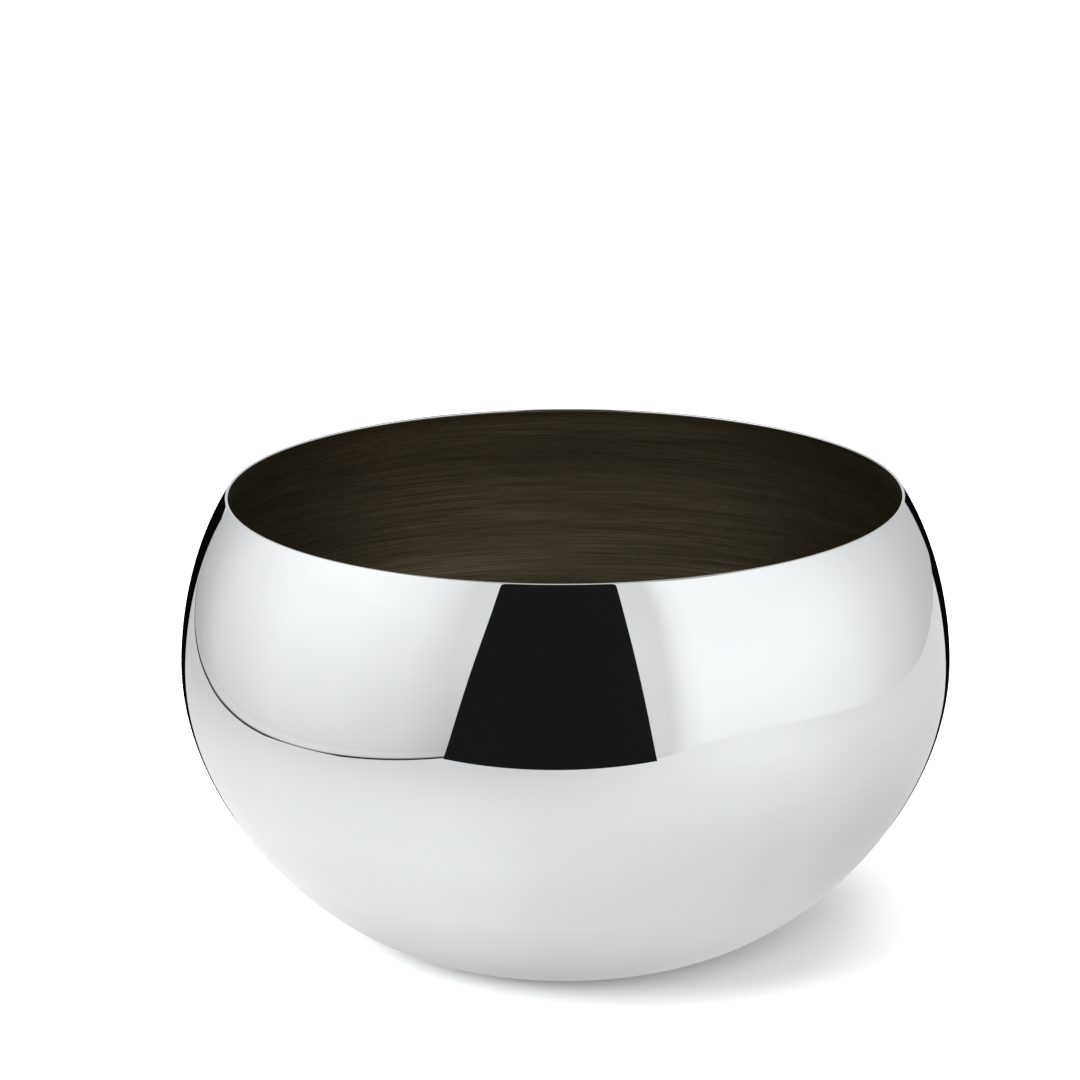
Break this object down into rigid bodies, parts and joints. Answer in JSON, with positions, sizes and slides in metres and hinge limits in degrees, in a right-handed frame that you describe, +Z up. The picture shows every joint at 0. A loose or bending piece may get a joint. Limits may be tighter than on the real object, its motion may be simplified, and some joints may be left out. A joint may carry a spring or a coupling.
{
  "type": "champagne bucket",
  "caption": "Round double-walled steel bowl for icing bottles: mirror-polished outside, brushed inside, wide belly closing in to a thin rounded rim.",
  "frame": {"origin": "middle of the pad's underside, on the plane that the bucket stands on", "axes": "+Z up out of the mouth along the axis of revolution; +X and +Y across the mouth, any pair at right angles because the bucket is round"},
  "size_m": [0.35, 0.35, 0.209],
  "materials": {
    "mirror_steel": "polished",
    "brushed_steel": "satin",
    "mill_steel": "matte",
    "foam": "matte",
    "soft_pad": "matte"
  },
  "bodies": {
    "root": {"upper_shell": "mirror_steel", "lower_shell": "mirror_steel", "rim_ring": "mirror_steel", "inner_liner": "brushed_steel", "base_plate": "mill_steel", "vent_plug": "mill_steel", "floor_spacer": "foam", "base_pad": "soft_pad"}
  },
  "joints": []
}
